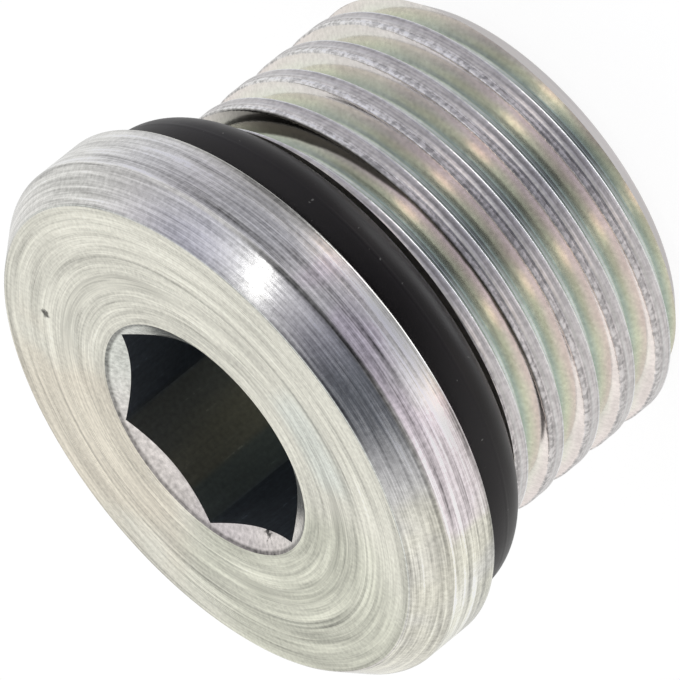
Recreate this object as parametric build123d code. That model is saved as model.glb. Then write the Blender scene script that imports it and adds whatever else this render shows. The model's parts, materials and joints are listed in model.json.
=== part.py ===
"""Hex socket screw plug with a flanged head and a sealing ring.

The plug stands on its flat thread end.  Z is the screw axis and points up to the head, and the
origin is the middle of the thread end.  The turned body is one solid: a chamfered flange, a neck
under it, a right-hand pipe thread with a 55 degree profile, and a hexagon socket in the head.
The rubber ring is a second solid.  It sits in the neck, against the underside of the flange.
All sizes are in millimetres and all angles in degrees.
"""

import os
from math import radians, sqrt, tan

from build123d import *

# Head
flange_diameter = 16.0
flange_height = 2.5
rim_chamfer_width = 0.72
rim_chamfer_height = 0.9
rim_edge_break = 0.12

# Hexagon socket
socket_across_flats = 6.0
socket_depth = 5.0
countersink_margin = 0.14
countersink_angle = 120.0
pilot_allowance = 0.2
pilot_extra_depth = 0.4
drill_point_angle = 120.0

# Pipe thread
thread_diameter = 13.157
thread_pitch = 1.337
thread_angle = 55.0
thread_crest_width = 0.4
thread_root_width = 0.08
thread_start_angle = 64.0
shank_length = 9.0
end_chamfer_width = 0.74
end_chamfer_angle = 45.0

# Neck and sealing ring
neck_relief = 0.18
neck_play = 0.08
shoulder_break = 0.1
ring_thickness = 2.0
ring_flat = 0.07

# How far the thread tool reaches past the crests, so that it cuts through them cleanly
tool_overrun = 0.2

# Thread profile: what the flats at the crest and at the root leave of the pitch is shared by the
# two flanks of the groove, and their angle gives its depth
half_angle = radians(thread_angle / 2)
flank_width = (thread_pitch - thread_crest_width - thread_root_width) / 2
thread_depth = flank_width / tan(half_angle)

# Radii and heights that the pieces share
flange_radius = flange_diameter / 2
crest_radius = thread_diameter / 2
thread_root = crest_radius - thread_depth
neck_radius = thread_root - neck_relief
end_face_radius = crest_radius - end_chamfer_width
socket_corner_radius = socket_across_flats / sqrt(3)
seat_height = shank_length
neck_bottom = seat_height - ring_thickness - neck_play
face_height = shank_length + flange_height


def turned_blank():
    """The body as it leaves the lathe: flange, neck and plain shank, revolved from half a section."""
    chamfer_rise = end_chamfer_width / tan(radians(end_chamfer_angle))
    outline = [
        (0, 0),
        (end_face_radius, 0),
        (crest_radius, chamfer_rise),
        (crest_radius, neck_bottom - shoulder_break),
        (crest_radius - shoulder_break, neck_bottom),
        (neck_radius, neck_bottom),
        (neck_radius, seat_height),
        (flange_radius - rim_edge_break, seat_height),
        (flange_radius, seat_height + rim_edge_break),
        (flange_radius, face_height - rim_chamfer_height),
        (flange_radius - rim_chamfer_width, face_height),
        (0, face_height),
    ]
    section = Plane.XZ * make_face(Polyline(outline, close=True))
    return revolve(section, Axis.Z)


def groove_section():
    """One groove between two crests, drawn with X pointing out from the axis and Y along it."""
    root_half_width = thread_root_width / 2
    mouth = crest_radius + tool_overrun
    mouth_half_width = root_half_width + (mouth - thread_root) * tan(half_angle)
    return make_face(
        Polyline(
            (thread_root, -root_half_width),
            (mouth, -mouth_half_width),
            (mouth, mouth_half_width),
            (thread_root, root_half_width),
            close=True,
        )
    )


def groove_turn(bottom):
    """One turn of the groove: the section follows a helix that starts at the height bottom."""
    path = Helix(thread_pitch, thread_pitch, thread_root)
    turn = sweep(Plane.XZ * groove_section(), path=path, is_frenet=True)
    angle = thread_start_angle + 360 * bottom / thread_pitch
    return Pos(0, 0, bottom) * Rot(0, 0, angle) * turn


def threaded(blank):
    """Cut the thread turn by turn, from the middle of the neck down past the end of the screw."""
    bottom = (neck_bottom + seat_height) / 2
    while bottom > -thread_pitch / 2:
        bottom -= thread_pitch
        blank -= groove_turn(bottom)
    return blank


def hexagon_socket():
    """The hexagon, its countersunk mouth, and the drilled hole below it with a pointed bottom."""
    hexagon = RegularPolygon(socket_corner_radius, 6)
    prism = Pos(0, 0, face_height - socket_depth) * extrude(hexagon, socket_depth)
    mouth_radius = socket_corner_radius + countersink_margin
    cone_height = mouth_radius / tan(radians(countersink_angle / 2))
    pilot_radius = (socket_across_flats - pilot_allowance) / 2
    pilot_floor = face_height - socket_depth - pilot_extra_depth
    point_floor = pilot_floor - pilot_radius / tan(radians(drill_point_angle / 2))
    countersink = make_face(
        Polyline(
            (0, face_height),
            (mouth_radius, face_height),
            (0, face_height - cone_height),
            close=True,
        )
    )
    pilot = make_face(
        Polyline(
            (0, face_height - socket_depth / 2),
            (pilot_radius, face_height - socket_depth / 2),
            (pilot_radius, pilot_floor),
            (0, point_floor),
            close=True,
        )
    )
    cone = revolve(Plane.XZ * countersink, Axis.Z)
    hole = revolve(Plane.XZ * pilot, Axis.Z)
    return prism + cone + hole


def plug_body():
    return threaded(turned_blank()) - hexagon_socket()


def sealing_ring():
    """A ring of round section, pressed slightly flat where it bears on the neck and the flange."""
    section_radius = ring_thickness / 2
    centre_radius = neck_radius + section_radius - ring_flat
    centre_height = seat_height - section_radius + ring_flat
    round_section = Pos(centre_radius, centre_height) * Circle(section_radius)
    room = Pos(neck_radius, seat_height) * Rectangle(
        2 * ring_thickness, 2 * ring_thickness, align=(Align.MIN, Align.MAX)
    )
    return revolve(Plane.XZ * (round_section & room), Axis.Z)


os.makedirs("parts", exist_ok=True)
export_step(plug_body(), "parts/plug_body.step")
export_step(sealing_ring(), "parts/sealing_ring.step")
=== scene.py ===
# %% [markdown]
# # A hex socket screw plug with a rubber sealing ring
#
# This notebook dresses a small turned plug for a hydraulic port: a zinc-plated steel body with a
# flange, a pipe thread and a hexagon socket, and a black rubber ring under the flange. The CAD
# model gives the exact places and sizes. Its surfaces are made of flat facets, which a shiny metal
# would show at once, so both pieces are modelled again here with fine, smooth surfaces, at the
# same places, and then given their finishes.
#
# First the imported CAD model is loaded. Every size that it knows is read from it.

# %% Load the CAD model
import json
from math import acos, cos, degrees, hypot, pi, radians, sin, sqrt, tan

import bmesh
import bpy
from mathutils import Matrix, Vector


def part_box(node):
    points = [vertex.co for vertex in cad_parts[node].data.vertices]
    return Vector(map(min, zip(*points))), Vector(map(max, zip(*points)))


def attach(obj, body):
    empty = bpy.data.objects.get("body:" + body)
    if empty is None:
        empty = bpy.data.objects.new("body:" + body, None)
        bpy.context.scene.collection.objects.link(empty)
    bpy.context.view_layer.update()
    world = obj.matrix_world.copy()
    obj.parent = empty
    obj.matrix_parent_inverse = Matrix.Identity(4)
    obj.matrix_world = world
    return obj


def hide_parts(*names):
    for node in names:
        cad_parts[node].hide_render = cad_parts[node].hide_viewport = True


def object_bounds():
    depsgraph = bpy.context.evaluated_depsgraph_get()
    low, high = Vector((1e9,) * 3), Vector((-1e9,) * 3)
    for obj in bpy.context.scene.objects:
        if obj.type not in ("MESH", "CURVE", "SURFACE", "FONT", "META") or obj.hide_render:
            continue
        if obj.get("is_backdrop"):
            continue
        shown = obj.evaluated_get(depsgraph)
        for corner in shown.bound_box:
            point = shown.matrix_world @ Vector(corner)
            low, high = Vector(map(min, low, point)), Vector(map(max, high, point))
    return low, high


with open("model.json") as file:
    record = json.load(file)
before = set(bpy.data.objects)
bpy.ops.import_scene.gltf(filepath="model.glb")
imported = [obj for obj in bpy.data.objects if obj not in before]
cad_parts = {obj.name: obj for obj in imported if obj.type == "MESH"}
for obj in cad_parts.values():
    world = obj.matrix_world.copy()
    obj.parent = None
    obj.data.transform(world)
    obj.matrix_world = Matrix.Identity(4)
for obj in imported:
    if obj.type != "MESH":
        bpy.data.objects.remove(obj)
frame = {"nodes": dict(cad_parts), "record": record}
cad_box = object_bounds()
print("CAD pieces:", sorted(frame["nodes"]))

# %% Read the sizes that the CAD model knows
MM = 0.001

plug_low, plug_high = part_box("plug_body")
ring_low, ring_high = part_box("sealing_ring")
mounts = {mount["name"]: mount for mount in frame["record"]["mounts"]}

flange_radius = (plug_high.x - plug_low.x) / 2
face_height = plug_high.z
seat_height = ring_high.z
crest_radius = mounts["pipe_thread"]["dims"]["r_mm"] * MM
socket_apothem = mounts["hexagon_socket"]["dims"]["r_mm"] * MM
socket_depth = mounts["hexagon_socket"]["dims"]["length_mm"] * MM
print(f"flange {2 * flange_radius / MM:.2f} mm across, {face_height / MM:.2f} mm high in all")

# %% [markdown]
# ## The camera
#
# A long lens a third of a metre away looks down on the head from the side. The camera is rolled,
# so that the plug's own axis runs from the lower left of the picture to the upper right. The roll
# is a turn about the line of sight, which Blender's `to_track_quat` leaves at zero, so it is added
# as one more rotation.

# %% Place the camera
camera_azimuth = radians(-90.665)
camera_elevation = radians(26.716)
camera_roll = radians(-129.01)
camera_distance = 353.27 * MM
camera_target = Vector((-0.194, 0.002, 6.644)) * MM
lens_mm = 721.917

toward_camera = Vector(
    (
        cos(camera_elevation) * cos(camera_azimuth),
        cos(camera_elevation) * sin(camera_azimuth),
        sin(camera_elevation),
    )
)
camera_data = bpy.data.cameras.new("camera")
camera_data.sensor_width = 36
camera_data.lens = lens_mm
camera_data.clip_start = 10 * MM
camera = bpy.data.objects.new("camera", camera_data)
bpy.context.scene.collection.objects.link(camera)
look = (-toward_camera).to_track_quat("-Z", "Y").to_matrix().to_4x4()
stand = Matrix.Translation(camera_target + toward_camera * camera_distance)
camera.matrix_world = stand @ look @ Matrix.Rotation(camera_roll, 4, "Z")
bpy.context.scene.camera = camera
print("camera stands at", [round(c / MM, 1) for c in camera.matrix_world.translation], "mm")

# %% [markdown]
# ## Selecting by place
#
# In a modelling session the mouse picks faces and edges. A script picks them by where they are.
# On a turned piece two numbers say it all: the distance from the axis and the height. The loaded
# CAD pieces come in selected, so everything is deselected before anything new is made.

# %% Helpers for edit mode
def start_piece():
    """Leave edit mode and deselect everything, so that operators act on the new piece alone."""
    if bpy.context.object and bpy.context.object.mode == "EDIT":
        bpy.ops.object.mode_set(mode="OBJECT")
    bpy.ops.object.select_all(action="DESELECT")


def act_on(piece):
    """Make one piece the active one, and the only one selected."""
    start_piece()
    bpy.context.view_layer.objects.active = piece
    piece.select_set(True)


def edit(piece, mode="EDGE"):
    """Open a piece in edit mode with nothing selected."""
    act_on(piece)
    bpy.ops.object.mode_set(mode="EDIT")
    bpy.ops.mesh.select_mode(type=mode)
    bpy.ops.mesh.select_all(action="DESELECT")


def select(piece, kind, wanted):
    """Select the verts, edges or faces that pass the test wanted(middle, part), and count them."""
    cage = bmesh.from_edit_mesh(piece.data)
    chosen = 0
    for part in getattr(cage, kind):
        corners = [part] if kind == "verts" else part.verts
        middle = sum((v.co for v in corners), Vector()) / len(corners)
        if wanted(middle, part):
            part.select_set(True)
            chosen += 1
    cage.select_flush_mode()
    bmesh.update_edit_mesh(piece.data)
    return chosen


def finish_edit():
    bpy.ops.object.mode_set(mode="OBJECT")


def open_edges(piece):
    """How many edges don't join exactly two faces. A closed body has none."""
    cage = bmesh.new()
    cage.from_mesh(piece.data)
    count = sum(1 for edge in cage.edges if len(edge.link_faces) != 2)
    cage.free()
    return count


print("helpers ready")

# %% [markdown]
# ## Turning the blank
#
# The real body starts as a bar in a lathe: flange, neck and plain shank are turned from it. Here a
# filled circle is the end of the bar. It is extruded step by step, and each step takes it to the
# next radius and height of the profile, as the turning tool does. Spinning a drawn profile would
# give the same shape, but steps keep each height easy to read. The shank is left a little fat,
# because the thread cutter shapes the crests later, and its shoulder slopes down to the neck, where
# the chamfering tool ran out.

# %% Turn the blank
SIDES = 256

neck_length = 2.08 * MM
shoulder_slope = 0.12 * MM
end_chamfer_width = 0.74 * MM
rim_chamfer_width = 0.72 * MM
rim_chamfer_height = 0.9 * MM
spare_for_thread = 0.06 * MM

ring_radius = ring_high.x
ring_thickness = ring_high.z - ring_low.z
neck_radius = ring_radius - ring_thickness
neck_bottom = seat_height - neck_length
crest_top = neck_bottom - shoulder_slope
end_face_radius = crest_radius - end_chamfer_width
shank_radius = crest_radius + spare_for_thread

profile = [
    (shank_radius, shank_radius - end_face_radius),
    (shank_radius, crest_top),
    (neck_radius, neck_bottom),
    (neck_radius, seat_height),
    (flange_radius, seat_height),
    (flange_radius, face_height - rim_chamfer_height),
    (flange_radius - rim_chamfer_width, face_height),
]

start_piece()
bpy.ops.mesh.primitive_circle_add(vertices=SIDES, radius=end_face_radius, fill_type="NGON")
plug = bpy.context.object
plug.name = "zinc_plated_plug"
edit(plug, "FACE")
bpy.ops.mesh.select_all(action="SELECT")
here = (end_face_radius, 0.0)
for radius, height in profile:
    bpy.ops.mesh.extrude_region()
    scale = radius / here[0]
    bpy.ops.transform.resize(value=(scale, scale, 1), center_override=(0, 0, here[1]))
    bpy.ops.transform.translate(value=(0, 0, height - here[1]))
    here = (radius, height)
bpy.ops.mesh.select_all(action="SELECT")
bpy.ops.mesh.normals_make_consistent(inside=False)
finish_edit()
print("blank has", len(plug.data.polygons), "faces and", open_edges(plug), "open edges")

# %% [markdown]
# ## Breaking the edges
#
# No turned edge is perfectly sharp. The tool, deburring and plating leave a tiny round that
# catches the light as a thin line. A bevel on just the edge loops of the flange makes them. The
# widths differ, because the chamfer's edges were turned and the lower edge was deburred.

# %% Round the edges of the flange
edge_rounds = [
    (flange_radius - rim_chamfer_width, face_height, 0.035 * MM),
    (flange_radius, face_height - rim_chamfer_height, 0.08 * MM),
    (flange_radius, seat_height, 0.12 * MM),
]
near = 0.01 * MM

for radius, height, width in edge_rounds:
    edit(plug, "EDGE")
    count = select(
        plug,
        "edges",
        lambda middle, part: all(
            abs(hypot(v.co.x, v.co.y) - radius) < near and abs(v.co.z - height) < near
            for v in part.verts
        ),
    )
    bpy.ops.mesh.bevel(offset=width, segments=4, affect="EDGES")
    finish_edit()
    print(f"rounded {count} edges at radius {radius / MM:.2f}, height {height / MM:.2f}")

# %% [markdown]
# ## The hexagon socket
#
# The real socket is drilled, countersunk and then pressed out with a six-sided punch. The same
# three tools cut it here: a drill with a pointed end, a flat cone, and a hexagonal prism whose
# corners reach a little inside the rim of the cone. Where the cone meets the six flats it leaves
# the scalloped edge that tells a real broached socket from a plain hole. The two cones keep a trace
# of width at their tips, so that no face is squeezed to nothing.

# %% Helpers for modifiers and cuts
def apply_modifier(piece, kind, **settings):
    """Add a modifier with these settings and apply it at once."""
    modifier = piece.modifiers.new(kind.lower(), kind)
    for name, value in settings.items():
        setattr(modifier, name, value)
    act_on(piece)
    bpy.ops.object.modifier_apply(modifier=modifier.name)


def cut(piece, tool):
    """Subtract a tool from a piece and throw the tool away."""
    apply_modifier(piece, "BOOLEAN", operation="DIFFERENCE", solver="EXACT", object=tool)
    bpy.data.objects.remove(tool)


print("cutting helpers ready")

# %% Cut the socket
mouth_margin = 0.14 * MM
cone_half_angle = radians(120 / 2)
drill_allowance = 0.1 * MM
drill_extra_depth = 0.4 * MM
above = 1 * MM
tip_radius = 0.002 * MM
tip_share = 0.01

socket_corner_radius = socket_apothem * 2 / sqrt(3)
mouth_radius = socket_corner_radius + mouth_margin
countersink_height = mouth_radius / tan(cone_half_angle)
drill_radius = socket_apothem - drill_allowance
drill_end = face_height - socket_depth - drill_extra_depth


def tool_between(name, sides, radius, low, high, top_radius=None):
    """An upright prism or cone between two heights, with its place kept in its mesh."""
    start_piece()
    bpy.ops.mesh.primitive_cone_add(
        vertices=sides,
        radius1=radius,
        radius2=radius if top_radius is None else top_radius,
        depth=high - low,
        location=(0, 0, (low + high) / 2),
    )
    tool = bpy.context.object
    tool.name = name
    bpy.ops.object.transform_apply(location=True, rotation=True, scale=True)
    return tool


drill = tool_between("drill", SIDES // 2, drill_radius, drill_end, face_height - above)
edit(drill, "FACE")
select(drill, "faces", lambda place, face: face.normal.z < -0.9)
bpy.ops.mesh.extrude_region()
bpy.ops.transform.resize(value=(tip_share, tip_share, 1), center_override=(0, 0, drill_end))
bpy.ops.transform.translate(value=(0, 0, -drill_radius / tan(cone_half_angle)))
finish_edit()
cut(plug, drill)

hexagon = tool_between(
    "hexagon", 6, socket_corner_radius, face_height - socket_depth, face_height + above
)
edit(hexagon, "VERT")
bpy.ops.mesh.select_all(action="SELECT")
bpy.ops.transform.rotate(value=radians(30), orient_axis="Z", center_override=(0, 0, 0))
finish_edit()
print("hexagon reaches", round(max(v.co.x for v in hexagon.data.vertices) / MM, 3), "mm along X")
cut(plug, hexagon)

slope_up = above * tan(cone_half_angle)
countersink = tool_between(
    "countersink",
    SIDES,
    tip_radius,
    face_height - countersink_height,
    face_height + above,
    top_radius=mouth_radius + slope_up,
)
cut(plug, countersink)
print("socketed body has", len(plug.data.polygons), "faces and", open_edges(plug), "open edges")

# %% [markdown]
# ## The thread cutter
#
# A pipe thread has flanks 55 degrees apart, with round roots. This one was rolled: hard dies
# pressed the grooves in, and the steel that rose between them was flattened into wide crests. A
# fold is left in the half of each crest that faces the head, and below it the dies scraped a
# shallow valley. The flanks are hollow by a hundredth of a millimetre, which gathers the light of
# a lamp into a soft spot. The cutter is the negative of all this, so its section is worked out
# first, point by point, from one fold to the next.

# %% Work out the section of the cutter
def arc(centre, radius, start, end, steps):
    """Points on an arc, from the angle start to the angle end in degrees, both included."""
    angles = [radians(start + (end - start) * i / steps) for i in range(steps + 1)]
    return [(centre[0] + radius * cos(a), centre[1] + radius * sin(a)) for a in angles]


def flank(start, end, depth, steps):
    """Points between two ends of a flank that is hollow by depth in the middle."""
    across = Vector((end[1] - start[1], start[0] - end[0])).normalized() * depth
    shares = [i / steps for i in range(1, steps)]
    return [
        (
            start[0] + (end[0] - start[0]) * s + across.x * sin(pi * s),
            start[1] + (end[1] - start[1]) * s + across.y * sin(pi * s),
        )
        for s in shares
    ]


pitch = 1.337 * MM
half_angle = radians(55 / 2)
thread_depth = 0.67 * MM
crest_width = 0.52 * MM
lip_round = 0.07 * MM
fold_from_middle = 0.1 * MM
fold_depth = 0.026 * MM
fold_half_width = 0.035 * MM
# Millimetres above the middle of the crest, and below its surface
scraped_crest = [
    (-0.17, 0.0),
    (-0.13, 0.003),
    (-0.10, 0.010),
    (-0.07, 0.015),
    (-0.03, 0.013),
    (0.01, 0.006),
    (0.06, 0.0),
]
flank_hollow = 0.012 * MM
cutter_outside = crest_radius + 0.5 * MM
flank_slope = degrees(half_angle)
thread_root = crest_radius - thread_depth

mouth_half_width = (pitch - crest_width) / 2
flanks_meet = crest_radius - mouth_half_width / tan(half_angle)
root_round = (thread_root - flanks_meet) * sin(half_angle) / (1 - sin(half_angle))
root_centre = (thread_root + root_round, 0)
lip_radius = crest_radius - lip_round
lip_height = mouth_half_width - lip_round * tan(half_angle) + lip_round / cos(half_angle)
fold = fold_from_middle - pitch / 2

lower_lip = arc((lip_radius, -lip_height), lip_round, 0, 90 - flank_slope, 5)
root = arc(root_centre, root_round, 270 - flank_slope, 90 + flank_slope, 12)
upper_lip = arc((lip_radius, lip_height), lip_round, flank_slope - 90, 0, 5)
section = [
    (cutter_outside, fold),
    (crest_radius - fold_depth, fold),
    (crest_radius, fold + fold_half_width),
    *lower_lip,
    *flank(lower_lip[-1], root[0], flank_hollow, 5),
    *root,
    *flank(root[-1], upper_lip[0], flank_hollow, 5),
    *upper_lip,
    *((crest_radius - depth * MM, pitch / 2 + height * MM) for height, depth in scraped_crest),
    (crest_radius - fold_depth, fold + pitch),
    (cutter_outside, fold + pitch),
]
print(f"section of {len(section)} points, root round {root_round / MM:.3f} mm")

# %% [markdown]
# ### From a section to a screw
#
# A drawing tool would place the points with the mouse. Here one vertex is extruded from point to
# point, and the last is joined to the first. The Screw modifier then turns the loop round the axis
# while it climbs one pitch a turn, so each turn lies exactly on the one before. It is simpler than
# sweeping a profile along a helix, and its pitch is exact.

# %% Draw the section and screw it into a cutter
STEPS_PER_TURN = 192
TURNS = 7

thread_start_angle = 64
groove_height = -pitch * (1 + thread_start_angle / 360)


def draw_outline(name, points):
    """A closed loop of edges in the XZ plane, drawn by extruding one vertex from point to point."""
    start_piece()
    bpy.ops.mesh.primitive_plane_add(size=MM)
    piece = bpy.context.object
    piece.name = name
    edit(piece, "VERT")
    bpy.ops.mesh.select_all(action="SELECT")
    bpy.ops.mesh.merge(type="CENTER")
    bpy.ops.transform.translate(value=(points[0][0], 0, points[0][1]))
    for before, after in zip(points, points[1:]):
        move = (after[0] - before[0], 0, after[1] - before[1])
        bpy.ops.mesh.extrude_vertices_move(TRANSFORM_OT_translate={"value": move})
    bpy.ops.mesh.select_all(action="DESELECT")
    select(piece, "verts", lambda place, part: len(part.link_edges) == 1)
    bpy.ops.mesh.edge_face_add()
    finish_edit()
    return piece


cutter = draw_outline("thread_cutter", [(r, z + groove_height) for r, z in section])
apply_modifier(
    cutter,
    "SCREW",
    axis="Z",
    angle=2 * pi,
    screw_offset=pitch,
    iterations=TURNS,
    steps=STEPS_PER_TURN,
    render_steps=STEPS_PER_TURN,
)
print("cutter has", len(cutter.data.polygons), "faces")

# %% [markdown]
# ### Making the cutter one closed body
#
# Where one turn lies on the next, two walls are in the same place. Merging by distance makes them
# one wall, which now stands inside the cutter. It is the only place where an edge has more than
# two faces and the face lies level, so it is easy to select and delete. The two open ends are
# filled, and the normals are made to point outwards.

# %% Close the cutter
def inner_wall(place, face):
    shared = any(len(edge.link_faces) > 2 for edge in face.edges)
    return shared and abs(face.normal.z) > 0.9


edit(cutter, "FACE")
bpy.ops.mesh.select_all(action="SELECT")
bpy.ops.mesh.remove_doubles(threshold=0.001 * MM)
bpy.ops.mesh.select_all(action="DESELECT")
walls = select(cutter, "faces", inner_wall)
bpy.ops.mesh.delete(type="FACE")
bpy.ops.mesh.select_mode(type="EDGE")
bpy.ops.mesh.select_non_manifold(extend=False)
bpy.ops.mesh.fill_holes(sides=0)
bpy.ops.mesh.select_all(action="SELECT")
bpy.ops.mesh.normals_make_consistent(inside=False)
finish_edit()
print(walls, "inner walls removed,", open_edges(cutter), "open edges left")

# %% [markdown]
# ### Cutting and smoothing
#
# One boolean takes the whole groove out, and the tool runs out into the neck above and past the
# end below, as on the real screw. Then the shading is smoothed wherever two faces meet at less
# than 25 degrees, so that turned surfaces look round and edges stay crisp. Weighted normals keep
# the long thin faces of the cut from bending the reflections.

# %% Cut the thread
cut(plug, cutter)
print("threaded body has", len(plug.data.polygons), "faces and", open_edges(plug), "open edges")

# %% Smooth the turned surfaces and keep the edges
act_on(plug)
bpy.ops.object.shade_smooth_by_angle(angle=radians(25), keep_sharp_edges=False)
apply_modifier(plug, "WEIGHTED_NORMAL", mode="FACE_AREA", weight=50, keep_sharp=True)
print("plug box", [round(c / MM, 3) for c in plug.dimensions])

# %% [markdown]
# ## The sealing ring
#
# The ring is moulded from nitrile rubber in a tool of two halves, and pressed a little flat where
# it bears on the flange and on the neck. A ready-made torus would be round all over and would cut
# into the steel, so the section is drawn instead: a circle with its two flats, and the fine ridge
# that the halves of the mould leave round the outside. Spinning it once round the axis makes the
# ring, and merging joins its two ends.

# %% Model the ring
section_round = 1.0 * MM
mould_ridge = 0.008 * MM
ridge_angle = 2
ring_middle = (ring_radius - section_round, ring_low.z + section_round)
flat_angle = 90 - degrees(acos((seat_height - ring_middle[1]) / section_round))

ring_outline = [
    *arc(ring_middle, section_round, flat_angle, ridge_angle, 24),
    (ring_radius + mould_ridge, ring_middle[1]),
    *arc(ring_middle, section_round, -ridge_angle, -90 - flat_angle, 56),
    *arc(ring_middle, section_round, 90 + flat_angle, 180 - flat_angle, 12),
]
ring = draw_outline("rubber_ring", ring_outline)
edit(ring, "EDGE")
bpy.ops.mesh.select_all(action="SELECT")
bpy.ops.mesh.spin(steps=SIDES, angle=2 * pi, center=(0, 0, 0), axis=(0, 0, 1))
bpy.ops.mesh.select_all(action="SELECT")
bpy.ops.mesh.remove_doubles(threshold=0.001 * MM)
bpy.ops.mesh.normals_make_consistent(inside=False)
finish_edit()
act_on(ring)
bpy.ops.object.shade_smooth_by_angle(angle=radians(30), keep_sharp_edges=False)
print("ring box", [round(c / MM, 3) for c in ring.dimensions], "open edges", open_edges(ring))

# %% [markdown]
# ## Which surface gets which finish
#
# The body is one solid, but its surfaces were made in different ways: turned, rolled, punched. Each
# way leaves its own marks, so each group of faces gets its own material slot. The groups are picked
# by place, as the edges were. Their order matters, because a later group takes faces from an
# earlier one.

# %% Sort the faces of the body into groups
def away(place):
    return hypot(place.x, place.y)


mouth_edge = mouth_radius + near
under_face = face_height - near
scallop_depth = 0.4 * MM
end_chamfer_top = 0.8 * MM
face_groups = {
    "rolled_thread": lambda place, face: True,
    "turned_neck": lambda place, face: place.z > crest_top and away(place) > mouth_edge,
    "flange_edge": lambda place, face: place.z > seat_height - near and away(place) > mouth_edge,
    "turned_face": lambda place, face: place.z > under_face and face.normal.z > 0.99,
    "socket_wall": lambda place, face: away(place) < mouth_edge and near < place.z < under_face,
    "countersink": lambda place, face: 0.5 < face.normal.z < 0.95
    and face_height - scallop_depth < place.z < under_face,
    "thread_end": lambda place, face: place.z < near,
    "end_chamfer": lambda place, face: place.z < end_chamfer_top and -0.8 < face.normal.z < -0.6,
}
plug.data.materials.clear()
for slot, (name, wanted) in enumerate(face_groups.items()):
    plug.data.materials.append(bpy.data.materials.new(name))
    edit(plug, "FACE")
    count = select(plug, "faces", wanted)
    plug.active_material_index = slot
    bpy.ops.object.material_slot_assign()
    finish_edit()
    print(f"{name}: {count} faces picked")

# %% [markdown]
# ## A small language for materials
#
# A material is a graph of nodes, and sums are easier to read as formulas than as nodes. `Wire`
# stands for the output of a node: adding or multiplying wires adds the Math nodes that do it. Every
# other node is added by `Board.add`, which takes the node's type, its settings, and what goes into
# its sockets.

# %% Wires and boards
class Wire:
    """The output of a node. Arithmetic on it adds Math nodes to its board."""

    def __init__(self, board, socket):
        self.board = board
        self.socket = socket

    def math(self, operation, *others):
        sockets = {0: self, **dict(enumerate(others, 1))}
        return self.board.add("ShaderNodeMath", {"operation": operation}, sockets)

    def __add__(self, other):
        return self.math("ADD", other)

    def __sub__(self, other):
        return self.math("SUBTRACT", other)

    def __rsub__(self, other):
        return self * -1 + other

    def __mul__(self, other):
        return self.math("MULTIPLY", other)

    def __truediv__(self, other):
        return self.math("DIVIDE", other)

    def __pow__(self, other):
        return self.math("POWER", other)

    __radd__ = __add__
    __rmul__ = __mul__


class Board:
    """The nodes of one material, or of the world."""

    def __init__(self, owner):
        owner.use_nodes = True
        self.tree = owner.node_tree
        self.tree.nodes.clear()

    def add(self, kind, settings, sockets, output=0):
        """Add a node: settings first, then a value or a wire for each socket named."""
        node = self.tree.nodes.new(kind)
        for name, value in settings.items():
            if name == "stops":
                self.set_stops(node.color_ramp, value)
            else:
                setattr(node, name, value)
        for key, value in sockets.items():
            if isinstance(value, Wire):
                self.tree.links.new(value.socket, node.inputs[key])
            elif node.inputs[key].type == "RGBA":
                node.inputs[key].default_value = (*value, 1)
            else:
                node.inputs[key].default_value = value
        return Wire(self, node.outputs[output]) if node.outputs else node

    def set_stops(self, ramp, stops):
        ramp.elements.remove(ramp.elements[1])
        for position, colour in stops:
            ramp.elements.new(position).color = (*colour, 1)
        ramp.elements.remove(ramp.elements[0])


print("boards ready")

# %% [markdown]
# The helpers below are the words that the finishes are written in. `rise` goes smoothly from 0 to
# 1 between two values. `line` is 1 on a value and 0 away from it. `marks` is noise drawn out along
# the circumference, slow around the axis and fine across, as any tool leaves it that the piece
# turned against. Noise swings about 0.5, so 0.5 is taken away where it should go both ways.
# Heights of bumps are in millimetres, so a groove is as deep as its number says.

# %% Words for finishes
def rise(value, low, high):
    sockets = {"Value": value, "From Min": low, "From Max": high}
    return value.board.add("ShaderNodeMapRange", {"interpolation_type": "SMOOTHSTEP"}, sockets)


def line(value, middle, half_width):
    return 1 - rise((value - middle).math("ABSOLUTE"), half_width * 0.3, half_width)


def noise(vector, scale, detail=2.0):
    sockets = {"Vector": vector, "Scale": scale, "Detail": detail}
    return vector.board.add("ShaderNodeTexNoise", {}, sockets)


def vector_of(x, y, z):
    return x.board.add("ShaderNodeCombineXYZ", {}, {0: x, 1: y, 2: z})


def blend(mask, first, second, how="MIX"):
    board = next(part.board for part in (mask, first, second) if isinstance(part, Wire))
    settings = {"data_type": "RGBA", "blend_type": how}
    return board.add("ShaderNodeMix", settings, {0: mask, 6: first, 7: second}, output=2)


def shade(colour, amount):
    """The colour, darker or lighter: amount is a wire near 1."""
    return blend(1.0, colour, amount, "MULTIPLY")


class Place:
    """Where a point of the piece is, in millimetres, from its Object coordinates."""

    def __init__(self, board):
        spot = board.add("ShaderNodeTexCoord", {}, {}, output="Object")
        sockets = {0: spot, "Scale": 1 / MM}
        self.spot = board.add("ShaderNodeVectorMath", {"operation": "SCALE"}, sockets)
        self.x, self.y, self.z = (
            board.add("ShaderNodeSeparateXYZ", {}, {0: self.spot}, output=i) for i in range(3)
        )
        self.away = (self.x * self.x + self.y * self.y) ** 0.5
        self.angle = self.y.math("ARCTAN2", self.x)

    def toward(self, degrees_round):
        """1 on the side of the axis at this angle, 0 a quarter turn away, -1 on the far side."""
        return (self.angle - radians(degrees_round)).math("COSINE")

    def distance_from(self, x, y, stretch=1.0):
        """How far a point is from an upright line at x, y. A stretch counts y more than x."""
        return ((self.x - x) ** 2 + ((self.y - y) * stretch) ** 2) ** 0.5

    def marks(self, across, slow, fine, detail=2.0):
        """Noise that changes slowly round the axis and quickly across the marks."""
        around_x = self.x / self.away * slow
        around_y = self.y / self.away * slow
        return noise(vector_of(around_x, around_y, across * fine), 1.0, detail)


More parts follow.
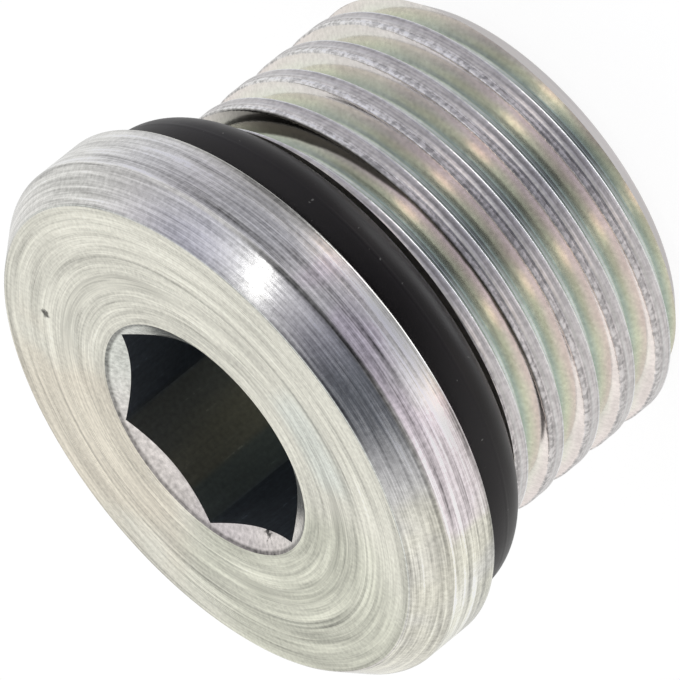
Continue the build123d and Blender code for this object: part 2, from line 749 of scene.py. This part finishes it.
def bump(height_mm):
    sockets = {"Strength": 1.0, "Distance": MM, "Height": height_mm}
    return height_mm.board.add("ShaderNodeBump", {}, sockets)


def finish_surface(board, **sockets):
    """The Principled shader with its sockets, and the material's output."""
    named = {key.replace("_", " "): value for key, value in sockets.items()}
    surface = board.add("ShaderNodeBsdfPrincipled", {}, named)
    board.add("ShaderNodeOutputMaterial", {}, {"Surface": surface})


print("words ready")

# %% [markdown]
# ## The turned face
#
# The head was faced on a lathe: the tool moved slowly outwards and left fine rings, a few of them
# deeper and a little off centre. The deeper rings are painted darker, as painted shade in their
# grooves. The zinc plating over the face is thin and passivated, which tints it: white, with beige
# on one side and green on the other, and a pale greenish-white band across the rings is a painted
# highlight. Grey dirt from handling stays in the rings halfway out, and something hard has left
# one small nick.

# %% Finish of the turned face
board = Board(bpy.data.materials["turned_face"])
place = Place(board)
grain = noise(place.spot, 8, 3)
fine_rings = place.marks(place.away, 1.8, 11, 3)
broad_rings = place.marks(place.away, 1.1, 2.6, 2)
hairlines = place.marks(place.away, 3.0, 26, 2)
patches = (noise(place.spot, 0.35, 2) - 0.5) * 0.7

white = (0.77, 0.762, 0.68)
beige = (0.745, 0.70, 0.60)
green = (0.67, 0.677, 0.58)
highlight_white = (0.74, 0.785, 0.74)
tint = blend(rise(place.toward(68) + patches, 0.7, 0.95), white, beige)
tint = blend(rise(place.toward(165) + patches, 0.5, 0.9), tint, green)
# Painted highlight: a pale greenish-white band across the rings on one side of the face.
painted_highlight_band = rise(place.toward(248), 0.93, 0.985) * line(place.away, 5.0, 0.9)
tint = blend(painted_highlight_band * 0.7, tint, highlight_white)

off_centre = place.away - place.toward(80) * 0.09
one_side = rise(place.toward(200), 0.4, 0.8)
in_patches = rise(broad_rings, 0.4, 0.6)
outer_rings = line(off_centre, 5.745, 0.07) + line(off_centre, 5.88, 0.06) * one_side
inner_rings = (line(off_centre, 4.2, 0.08) + line(off_centre, 4.42, 0.05)) * in_patches
deep = outer_rings + inner_rings
dirt_side = rise(place.toward(182), 0.5, 0.95) + rise(place.toward(355), 0.6, 0.97) * 0.8
dirt = line(place.away + (fine_rings - 0.5) * 0.5, 4.92, 0.3) * dirt_side * rise(grain, 0.3, 0.6)
worn = rise(place.away, 6.6, 7.2)
# Painted shade: the deeper rings are darker in colour. The grey dirt band is real, and the outer
# edge is a little darker.
groove_shade_and_dirt = 1.0 - deep * 0.24 - dirt * 0.26 - worn * 0.05
coarse_side = rise(place.toward(175), 0.3, 0.9)
rings = (fine_rings - 0.5) * 0.7 + (broad_rings - 0.5) * (0.85 + coarse_side * 0.7)
rings = rings + (hairlines - 0.5) * 0.75 + (grain - 0.5) * 0.6
nick = 1 - rise(place.distance_from(5.17, 2.52) + (grain - 0.5) * 0.25, 0.08, 0.17)

finish_surface(
    board,
    Base_Color=shade(shade(tint, groove_shade_and_dirt + rings), 1 - nick * 0.75),
    Metallic=1.0,
    Roughness=0.3 + dirt * 0.15 + (fine_rings - 0.5) * 0.2 + nick * 0.3,
    Normal=bump(
        (fine_rings + hairlines) * 0.0012 + broad_rings * 0.004 - deep * 0.006 - nick * 0.03
    ),
)
print("turned face finished")

# %% [markdown]
# ## The edge of the flange
#
# The chamfer and the rim were turned with a coarser feed, and nothing faced them afterwards. Their
# grooves run all the way round and catch the light as long bright streaks. The rim's are the
# coarser ones. The three turned edges are painted a little darker than the surfaces between them,
# as painted shade, most on the side that faces the camera and along the seat of the ring.

# %% Finish of the flange's edge
board = Board(bpy.data.materials["flange_edge"])
place = Place(board)
grain = noise(place.spot, 8, 3)
fine_lines = place.marks(place.z, 2.6, 14, 3)
hairlines = place.marks(place.z, 3.5, 26, 2)
coarse_lines = place.marks(place.z, 1.6, 4.5, 2)
scratches = rise(place.marks(place.z, 1.2, 9, 1), 0.6, 0.7)
patches = (noise(place.spot, 0.35, 2) - 0.5) * 0.7
seat = seat_height / MM
top = face_height / MM
chamfer_foot = top - rim_chamfer_height / MM
rim_share = 1 - rise(place.z, chamfer_foot - 0.1, chamfer_foot + 0.02)
front = rise(place.toward(262), 0.75, 0.97)

white = (0.78, 0.775, 0.74)
cream = (0.76, 0.75, 0.65)
mauve = (0.84, 0.78, 0.80)
tint = blend(rise(place.toward(195) + patches, 0.8, 0.98), white, cream)
tint = blend(rise(place.toward(250) + patches, 0.9, 1.0) * rim_share, tint, mauve)
# Painted shade along the three turned edges, stronger on the side facing the camera and at the
# seat.
edges = line(place.z, chamfer_foot, 0.1) + line(place.z, top - 0.02, 0.09) * 0.7
edges = edges + (1 - rise(place.z, seat, seat + 0.25)) * 0.5
streaks = (fine_lines - 0.5) * 0.9 + (coarse_lines - 0.5) * (0.8 + rim_share * (1.2 + front))
streaks = streaks + (hairlines - 0.5) * 1.1 + (grain - 0.5) * 0.7
streaks = streaks + scratches * (0.1 + rim_share * 0.2)

finish_surface(
    board,
    Base_Color=shade(tint, 0.97 - edges * (0.2 + front * 0.25) + streaks),
    Metallic=1.0,
    Roughness=0.22 + (fine_lines - 0.5) * 0.24 + (hairlines - 0.5) * 0.2,
    Normal=bump(
        fine_lines * (0.0015 + rim_share * 0.001)
        + coarse_lines * (0.004 + rim_share * 0.005)
        + hairlines * 0.001
        + grain * 0.0015
    ),
)
print("flange edge finished")

# %% [markdown]
# ## The rolled thread
#
# The flanks are smooth, because the dies pressed and polished them. Their film of zinc shimmers
# from teal deep in the groove, through yellow-green, to pink near the crest, and the teal is also
# darker, which is painted shade in the root. On one side of the plug the film is thicker and hides
# the pink. The crests are rough: there the steel folded and was scraped by the die, except for a
# polished lip along the lower edge, whose lighter colour is a painted highlight. A lighter band
# along the middle of each crest is painted sheen. In the groove next to the neck a dark band is
# painted shade, for the shadow and reflection of the black ring.
#
# To know where a point lies on the thread, its height is wound back along the helix, which gives
# its distance from the middle of the crest. What is left over is how high that crest is there.

# %% Finish of the rolled thread
crest_mm = crest_radius / MM
pitch_mm = pitch / MM

board = Board(bpy.data.materials["rolled_thread"])
place = Place(board)
wound = place.z / pitch_mm - place.angle / (2 * pi) + thread_start_angle / 360
from_crest = (wound.math("FRACT") - 0.5) * pitch_mm
depth = crest_mm - place.away
climb = place.z - from_crest
along = place.marks(from_crest, 3.0, 16, 3)
scrapes = noise(place.spot, 9, 3)
clouds = noise(place.spot, 0.9, 2)
grain = noise(place.spot, 8, 3)
coarse_scrapes = noise(place.spot, 5, 2)
thick_side = rise(place.toward(325), 0.75, 1.0)

yellow_green = (0.81, 0.83, 0.72)
pink = (0.87, 0.80, 0.765)
teal_and_root_shade = (0.62, 0.69, 0.65)
rough_steel = (0.61, 0.59, 0.585)
crest_sheen_steel = (0.78, 0.77, 0.77)
pale_zinc = (0.86, 0.85, 0.83)
polished_lip_and_highlight = (0.86, 0.87, 0.88)
ring_shade_black = (0.10, 0.095, 0.08)

film = blend(rise(depth + (clouds - 0.5) * 0.35, 0.1, 0.5), pink, yellow_green)
# The teal deep in the groove is also darker: painted shade in the root.
film = blend(rise(depth, 0.4, 0.66), film, teal_and_root_shade)
film = blend(thick_side * 0.4, film, yellow_green)
film = shade(film, 1 + (clouds - 0.5) * 0.22)

crest = 1 - rise(depth + (scrapes - 0.5) * 0.06, 0.02, 0.07)
lower_lip = (1 - rise(from_crest, -0.23, -0.18)) * crest
scraped = rise(from_crest, 0.05, 0.12) * crest
# Painted sheen: a lighter band along the middle of the crest.
painted_crest_sheen = line(from_crest, 0.0, 0.07) * crest
tint = blend(crest, film, rough_steel)
tint = blend(painted_crest_sheen * 0.6, tint, crest_sheen_steel)
tint = blend(scraped * thick_side, tint, pale_zinc)
# The polished lip is also lighter in colour: painted highlight on top of its lower roughness.
tint = blend(lower_lip, tint, polished_lip_and_highlight)

# Painted shade: a dark band in the groove next to the neck, for the black ring's shadow and
# reflection.
painted_ring_shade_width = ((climb - 5.47) * 2.6 + 0.05).math("MAXIMUM", 0.1) + (clouds - 0.5) * 0.1
painted_ring_shade = (1 - rise(depth - painted_ring_shade_width, -0.05, 0.03)) * rise(from_crest, 0.22, 0.28)
painted_ring_shade = painted_ring_shade * rise(climb, 5.2, 5.35) * (1 - rise(climb, 5.64, 5.8))
tint = blend(painted_ring_shade, tint, ring_shade_black)

specks = rise(scrapes * 0.5 + coarse_scrapes * 0.5, 0.4, 0.6) - 0.5
streaks = (along - 0.5) * (0.2 + crest * 0.9) + specks * (scraped * 0.36 + crest * 0.18)
streaks = streaks + (grain - 0.5) * 0.42

finish_surface(
    board,
    Base_Color=shade(tint, 1.0 + streaks),
    Metallic=1.0,
    Roughness=0.13 + crest * 0.17 - lower_lip * 0.12 + (along - 0.5) * 0.1,
    Normal=bump(
        along * (0.0004 + crest * 0.004) + scrapes * (crest + scraped) * 0.0055 + grain * 0.0007
    ),
)
print("rolled thread finished")

# %% [markdown]
# ## The neck and the thread's end
#
# The neck, the end and its chamfer were turned quickly and are never seen in use. One function
# gives them all the same simple finish, with the rings of the tool, and only the colour, the
# direction of the feed and the gloss differ.

# %% Finish of the neck and the end
def turned_simply(name, colour, across, roughness):
    board = Board(bpy.data.materials[name])
    place = Place(board)
    rings = place.marks(getattr(place, across), 1.5, 9, 3)
    finish_surface(
        board,
        Base_Color=shade(colour, 0.85 + rings * 0.3),
        Metallic=1.0,
        Roughness=roughness + (rings - 0.5) * 0.2,
        Normal=bump(rings * 0.0025),
    )


turned_simply("turned_neck", colour=(0.75, 0.72, 0.66), across="z", roughness=0.5)
turned_simply("end_chamfer", colour=(0.64, 0.61, 0.60), across="away", roughness=0.4)
turned_simply("thread_end", colour=(0.77, 0.765, 0.69), across="away", roughness=0.3)
print("neck and end finished")

# %% [markdown]
# ## The countersink
#
# The flat cone at the mouth of the socket is turned and plated like the face, but only six slivers
# of it are left between the corners of the hexagon. A narrow ring along its outer edge is darker,
# and keys have left a few small marks on it.

# %% Finish of the countersink
board = Board(bpy.data.materials["countersink"])
place = Place(board)
rings = place.marks(place.away, 1.5, 9, 3)
grain = noise(place.spot, 8, 3)
green_white = (0.74, 0.76, 0.71)
pink_white = (0.80, 0.75, 0.72)
tint = blend(rise(place.toward(120), -0.2, 0.8), green_white, pink_white)
# A narrow ring along the outer edge is darker.
outer_edge_dark = line(place.away, 3.59, 0.13) * 0.55
from_marks = place.distance_from(-2.85, 1.12, stretch=1.6)
marks = 1 - rise(from_marks + (grain - 0.5) * 0.9, 0.1, 0.25)
streaks = (rings - 0.5) * 0.6 + (grain - 0.5) * 0.9
finish_surface(
    board,
    Base_Color=shade(tint, 0.9 - outer_edge_dark - marks * 0.7 + streaks),
    Metallic=1.0,
    Roughness=0.25 + (rings - 0.5) * 0.2,
    Normal=bump(rings * 0.0025 + grain * 0.002),
)
print("countersink finished")

# %% [markdown]
# ## The walls of the socket
#
# The socket is dark for three reasons: plating hardly reaches into a deep hole, so its walls stay
# nearly bare grey steel, what light falls in has to bounce several times to get out again, and the
# walls are painted darker than bare steel, as painted shade of the deep hole. The punch leaves fine
# upright scores, and what little zinc there is changes from one side of the socket to the other,
# from a bluish grey at both ends to an olive brown in between.

# %% Finish of the socket walls
board = Board(bpy.data.materials["socket_wall"])
place = Place(board)
scores = noise(vector_of(place.x * 9, place.y * 9, place.z * 0.5), 1.0, 3)
bands = noise(vector_of(place.x * 0.8, place.y * 0.8, place.z * 0.15), 1.0, 1)
grain = noise(place.spot, 8, 3)
scratches = rise(scores, 0.64, 0.7) * rise(grain, 0.5, 0.6)

green_grey = (0.28, 0.315, 0.30)
olive = (0.39, 0.38, 0.31)
warm_grey = (0.32, 0.325, 0.30)
dark_blue_grey = (0.25, 0.28, 0.32)
blue_grey = (0.27, 0.30, 0.34)
# Painted shade: every colour of the walls is darker than bare steel.
steel_and_painted_shade = blend(rise(place.x + (bands - 0.5) * 0.6, -0.85, -0.6), green_grey, olive)
steel_and_painted_shade = blend(rise(place.x + (bands - 0.5) * 1.5, 0.2, 1.0), steel_and_painted_shade, warm_grey)
steel_and_painted_shade = blend(rise(place.x, 1.6, 1.85), steel_and_painted_shade, dark_blue_grey)
steel_and_painted_shade = blend(1 - rise(place.x, -1.85, -1.6), steel_and_painted_shade, blue_grey)
finish_surface(
    board,
    Base_Color=shade(steel_and_painted_shade, 1.0 + (scores - 0.5) * 0.4 + (grain - 0.5) * 0.7 + scratches * 0.5),
    Metallic=1.0,
    Roughness=0.42 + (scores - 0.5) * 0.15,
    Normal=bump(scores * 0.004),
)
print("socket walls finished")

# %% [markdown]
# ## The rubber
#
# Nitrile rubber filled with soot is nearly black. Moulded in a polished tool it has a soft sheen,
# and it picks up specks of dust. The specks are a noise pattern cut off so high that only its rare
# peaks are left.

# %% Finish of the rubber ring
rubber = bpy.data.materials.new("nitrile_rubber")
ring.data.materials.clear()
ring.data.materials.append(rubber)
board = Board(rubber)
place = Place(board)
grain = noise(place.spot, 14, 3)
specks = rise(noise(place.spot, 5, 1), 0.74, 0.78) * rise(grain, 0.5, 0.6)
haze = noise(place.spot, 0.8, 3)
black = (0.0135, 0.0115, 0.012)
dust = (0.16, 0.16, 0.15)
finish_surface(
    board,
    Base_Color=blend(specks, shade(black, 0.7 + haze * 0.6), dust),
    Roughness=0.38 + (haze - 0.5) * 0.2 + specks * 0.3,
    Specular_IOR_Level=0.32,
    Normal=bump(grain * 0.0025),
)
print("rubber finished")

# %% [markdown]
# ## The floor
#
# The plug stands on a white table. A diffuse floor alone would come out light grey, so on the rays
# that the camera sees, most of its white is emission a little stronger than 1, and the rest is a
# diffuse share that keeps the plug's soft shadow. Mirror-like surfaces look through the floor, at
# the lower half of the surroundings, because what a shiny thread reflects is the light tent around
# it. The floor lies a hair under the plug's end, so that the two surfaces don't share one place.

# %% Lay the floor
floor_gap = 0.02 * MM
glow_share = 0.85
glow_strength = 1.08

start_piece()
bpy.ops.mesh.primitive_plane_add(size=2, location=(0, 0, -floor_gap))
floor = bpy.context.object
floor.name = "floor"
floor_white = bpy.data.materials.new("floor_white")
floor.data.materials.append(floor_white)
board = Board(floor_white)
diffuse = board.add("ShaderNodeBsdfDiffuse", {}, {"Color": (0.9, 0.9, 0.9)})
glow = board.add("ShaderNodeEmission", {}, {"Color": (1, 1, 1), "Strength": glow_strength})
clear = board.add("ShaderNodeBsdfTransparent", {}, {})
camera_ray = board.add("ShaderNodeLightPath", {}, {}, output="Is Camera Ray")
mirror_ray = board.add("ShaderNodeLightPath", {}, {}, output="Is Glossy Ray")
seen = board.add("ShaderNodeMixShader", {}, {0: camera_ray * glow_share, 1: diffuse, 2: glow})
surface = board.add("ShaderNodeMixShader", {}, {0: mirror_ray, 1: seen, 2: clear})
board.add("ShaderNodeOutputMaterial", {}, {"Surface": surface})
floor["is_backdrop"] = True
print("floor laid")

# %% [markdown]
# ## The light
#
# Shiny metal shows its surroundings more than its own colour, so the surroundings are designed
# like a small light tent. They are white at the back and on the left. On the right there is a
# bright strip, a window, between the dark of the camera's side and a dim blue-grey wall. Four
# colour ramps hold the brightness all the way round: the table, and the low, middle and high parts
# of the tent. Which of them a direction gets depends on `up`, the sine of its height. Straight
# below, a white strip lights the polished lower lips of the thread, and a few soft spots near the
# table show only in its flanks.

# %% Build the surroundings
def stop(angle, *colour):
    """A ramp stop for a direction: its angle round the vertical in degrees, and its colour."""
    return ((angle + 180) / 360, colour)


low_stops = [
    stop(-180, 0.88, 0.86, 0.86),
    stop(-149, 0.80, 0.78, 0.80),
    stop(-129, 0.86, 0.83, 0.90),
    stop(-109, 0.58, 0.57, 0.66),
    stop(-89, 0.46, 0.46, 0.54),
    stop(-69, 0.74, 0.72, 0.80),
    stop(-49, 0.52, 0.52, 0.60),
    stop(-29, 0.40, 0.40, 0.46),
    stop(-9, 0.50, 0.49, 0.56),
    stop(20, 0.64, 0.64, 0.70),
    stop(60, 0.80, 0.80, 0.80),
    stop(130, 0.88, 0.88, 0.87),
    stop(180, 0.88, 0.86, 0.86),
]
middle_stops = [
    stop(-180, 0.86, 0.84, 0.84),
    stop(-155, 0.95, 0.93, 0.94),
    stop(-130, 0.60, 0.59, 0.60),
    stop(-100, 0.13, 0.13, 0.15),
    stop(-70, 0.30, 0.30, 0.32),
    stop(-29, 0.72, 0.71, 0.74),
    stop(11, 0.72, 0.71, 0.74),
    stop(40, 0.82, 0.82, 0.82),
    stop(90, 0.89, 0.88, 0.87),
    stop(141, 0.85, 0.84, 0.84),
    stop(180, 0.86, 0.84, 0.84),
]
high_stops = [
    stop(-180, 0.76, 0.75, 0.76),
    stop(-155, 0.52, 0.52, 0.56),
    stop(-135, 0.13, 0.14, 0.17),
    stop(-110, 0.11, 0.12, 0.15),
    stop(-86, 0.25, 0.25, 0.31),
    stop(-66, 0.56, 0.55, 0.62),
    stop(-40, 0.80, 0.80, 0.86),
    stop(-22, 0.58, 0.58, 0.70),
    stop(-4, 0.46, 0.46, 0.56),
    stop(14, 0.66, 0.64, 0.72),
    stop(45, 0.84, 0.84, 0.86),
    stop(90, 0.86, 0.86, 0.84),
    stop(180, 0.76, 0.75, 0.76),
]
table_stops = [
    stop(-180, 0.72, 0.71, 0.69),
    stop(-162, 0.64, 0.63, 0.60),
    stop(-133, 0.58, 0.57, 0.56),
    stop(-115, 0.42, 0.42, 0.42),
    stop(-100, 0.36, 0.36, 0.37),
    stop(-85, 0.50, 0.50, 0.51),
    stop(-67, 0.66, 0.65, 0.66),
    stop(-45, 0.52, 0.51, 0.52),
    stop(-26, 0.44, 0.43, 0.44),
    stop(8, 0.60, 0.59, 0.60),
    stop(60, 0.80, 0.80, 0.80),
    stop(180, 0.72, 0.71, 0.69),
]
# Each spot has an angle, a height and a size in degrees, and a colour.
spots = [
    (-62.7, -41.5, 8, (1.25, 1.06, 1.0)),
    (-134.6, -39.3, 8, (1.15, 1.0, 0.92)),
    (-60, -66, 14, (2.6, 2.6, 2.6)),
]


def unit(angle, height):
    """The direction at an angle round the vertical and a height above the horizon, in degrees."""
    level = cos(radians(height))
    return (level * cos(radians(angle)), level * sin(radians(angle)), sin(radians(height)))


world = bpy.data.worlds.new("light_tent")
bpy.context.scene.world = world
board = Board(world)
direction = board.add("ShaderNodeTexCoord", {}, {}, output="Generated")
east, north, up = (
    board.add("ShaderNodeSeparateXYZ", {}, {0: direction}, output=i) for i in range(3)
)
round_share = north.math("ARCTAN2", east) / (2 * pi) + 0.5
table, low, middle, high = (
    board.add("ShaderNodeValToRGB", {"stops": stops}, {0: round_share})
    for stops in (table_stops, low_stops, middle_stops, high_stops)
)
tent = blend(rise(up, -0.42, -0.22), low, middle)
tent = blend(rise(up, 0.3, 0.66), tent, high)
tent = blend(rise(up, 0.86, 0.97), tent, (0.8, 0.8, 0.8))
tent = blend(1 - rise(up, -0.62, -0.5), tent, table)

strip = line(east, -0.14, 0.22) * rise(north, -0.4, -0.2) * (1 - rise(north, 0.0, 0.2))
beneath = blend(strip, (0.8, 0.8, 0.82), (2.2, 2.2, 2.25))
tent = blend(1 - rise(up, -0.94, -0.84), tent, beneath)

dot = {"operation": "DOT_PRODUCT"}
for angle, height, size, colour in spots:
    sockets = {0: direction, 1: unit(angle, height)}
    facing = board.add("ShaderNodeVectorMath", dot, sockets, output="Value")
    tent = blend(rise(facing, cos(radians(size)), cos(radians(size * 0.4))), tent, colour)
camera_ray = board.add("ShaderNodeLightPath", {}, {}, output="Is Camera Ray")
surroundings = blend(camera_ray, tent, (1, 1, 1))
background = board.add("ShaderNodeBackground", {}, {"Color": surroundings, "Strength": 1.0})
board.add("ShaderNodeOutputWorld", {}, {"Surface": background})
bpy.context.scene.view_settings.view_transform = "Standard"
print("light tent built")

# %% [markdown]
# ### Two soft lamps
#
# The surroundings alone cast hardly any shadow. A narrow lamp stands behind the window strip and
# makes its highlight on the chamfer crisp, and a large faint one overhead on the left grounds the
# plug with a soft shadow. A lamp's power is spread over its area, so the helper takes the
# brightness that its surface should have and works the power out.

# %% Add two soft lamps
def soft_lamp(name, angle, height, distance, width, length, radiance):
    """A lamp that looks at the plug, from an angle and a height in degrees. Sizes in metres."""
    data = bpy.data.lights.new(name, "AREA")
    data.shape = "RECTANGLE"
    data.size = width
    data.size_y = length
    data.energy = radiance * pi * width * length
    lamp = bpy.data.objects.new(name, data)
    bpy.context.scene.collection.objects.link(lamp)
    side = Vector(unit(angle, height))
    turn = side.to_track_quat("Z", "Y").to_matrix().to_4x4()
    lamp.matrix_world = Matrix.Translation(camera_target + side * distance) @ turn
    print(f"lamp {name}: {data.energy:.3f} W")


soft_lamp("window", angle=-50, height=47, distance=0.5, width=0.04, length=0.16, radiance=2.8)
soft_lamp("overhead", angle=150, height=62, distance=0.6, width=0.7, length=0.7, radiance=0.15)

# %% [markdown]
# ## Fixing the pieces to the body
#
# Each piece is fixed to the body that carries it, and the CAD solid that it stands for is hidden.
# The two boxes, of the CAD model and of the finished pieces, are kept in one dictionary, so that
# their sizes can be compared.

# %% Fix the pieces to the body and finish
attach(plug, "root")
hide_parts("plug_body")
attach(ring, "root")
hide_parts("sealing_ring")

size = {"cad": [list(c) for c in cad_box], "visual": [list(c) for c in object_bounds()]}
